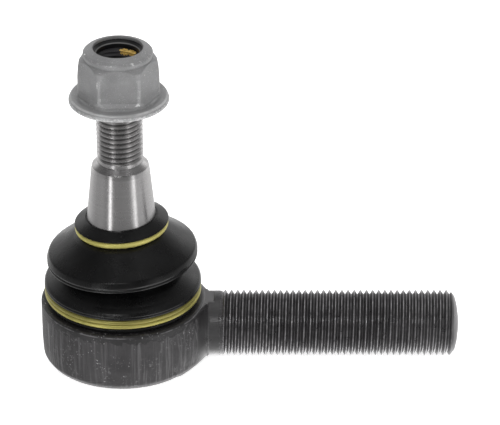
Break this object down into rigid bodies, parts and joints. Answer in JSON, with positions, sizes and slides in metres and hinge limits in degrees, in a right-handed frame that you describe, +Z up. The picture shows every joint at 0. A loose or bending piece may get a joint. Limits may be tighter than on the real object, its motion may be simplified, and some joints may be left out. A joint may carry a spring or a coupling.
{
  "type": "tie rod end",
  "caption": "Outer tie rod end: forged eye with a threaded shank, and a booted ball stud with a taper, thread and flange nut.",
  "frame": {"origin": "centre of the flat rim under the housing, which the part stands on, on the ball stud's axis", "axes": "+Z up the ball stud's axis towards the nut, +X out along the threaded shank"},
  "size_m": [0.1016, 0.0398, 0.0832],
  "materials": {
    "phosphated_forging": "dark phosphate coat on forged steel, oiled, with lighter edges",
    "phosphated_plate": "dark phosphate coat on pressed steel",
    "seal_rubber": "smooth",
    "spring_steel": "bare spring steel",
    "seat_polymer": "natural acetal",
    "ground_stud_steel": "ground taper, rolled thread",
    "boot_rubber": "satin moulded chloroprene",
    "yellow_zinc_wire": "yellow passivated zinc",
    "zinc_flake_steel": "matt grey zinc flake",
    "nylon": "dark nylon",
    "locking_compound": "dried golden compound"
  },
  "bodies": {
    "housing": {"housing": "phosphated_forging", "cover_plate": "phosphated_plate", "cover_seal": "seal_rubber", "disc_spring": "spring_steel", "thrust_washer": "spring_steel", "lower_ball_seat": "seat_polymer", "upper_ball_seat": "seat_polymer", "boot_lower_fold": "boot_rubber", "lower_clamp_ring": "yellow_zinc_wire"},
    "boot_middle": {"boot_waist": "boot_rubber"},
    "boot_top": {"boot_upper_fold": "boot_rubber", "upper_clamp_ring": "yellow_zinc_wire"},
    "ball_stud": {"ball_stud": "ground_stud_steel"},
    "nut_carrier": {"nut_lock_insert": "nylon"},
    "nut": {"flange_nut": "zinc_flake_steel", "thread_lock_patch": "locking_compound"}
  },
  "joints": [
    {"name": "swing_along_shank", "type": "hinge", "parent": "housing", "child": "boot_middle", "pos_m": [0, 0, 0.0136], "axis": [0, 1, 0], "range_deg": [-18, 18], "deforming": ["boot_lower_fold", "boot_waist", "boot_upper_fold"]},
    {"name": "swing_across_shank", "type": "hinge", "parent": "boot_middle", "child": "boot_top", "pos_m": [0, 0, 0.0136], "axis": [1, 0, 0], "range_deg": [-18, 18], "deforming": ["boot_lower_fold", "boot_waist", "boot_upper_fold"]},
    {"name": "stud_spin", "type": "hinge", "parent": "boot_top", "child": "ball_stud", "pos_m": [0, 0, 0.0136], "axis": [0, 0, 1], "continuous": true},
    {"name": "nut_travel", "type": "slide", "parent": "ball_stud", "child": "nut_carrier", "axis": [0, 0, 1], "range_m": [-0.0146, 0.0038]},
    {"name": "nut_turn", "type": "hinge", "parent": "nut_carrier", "child": "nut", "pos_m": [0, 0, 0.0692], "axis": [0, 0, 1], "range_deg": [-4140, 1080]}
  ],
  "couplings": [
    {"joint": "nut_turn", "follows": "nut_travel", "rad_per_m": 4947.4}
  ]
}
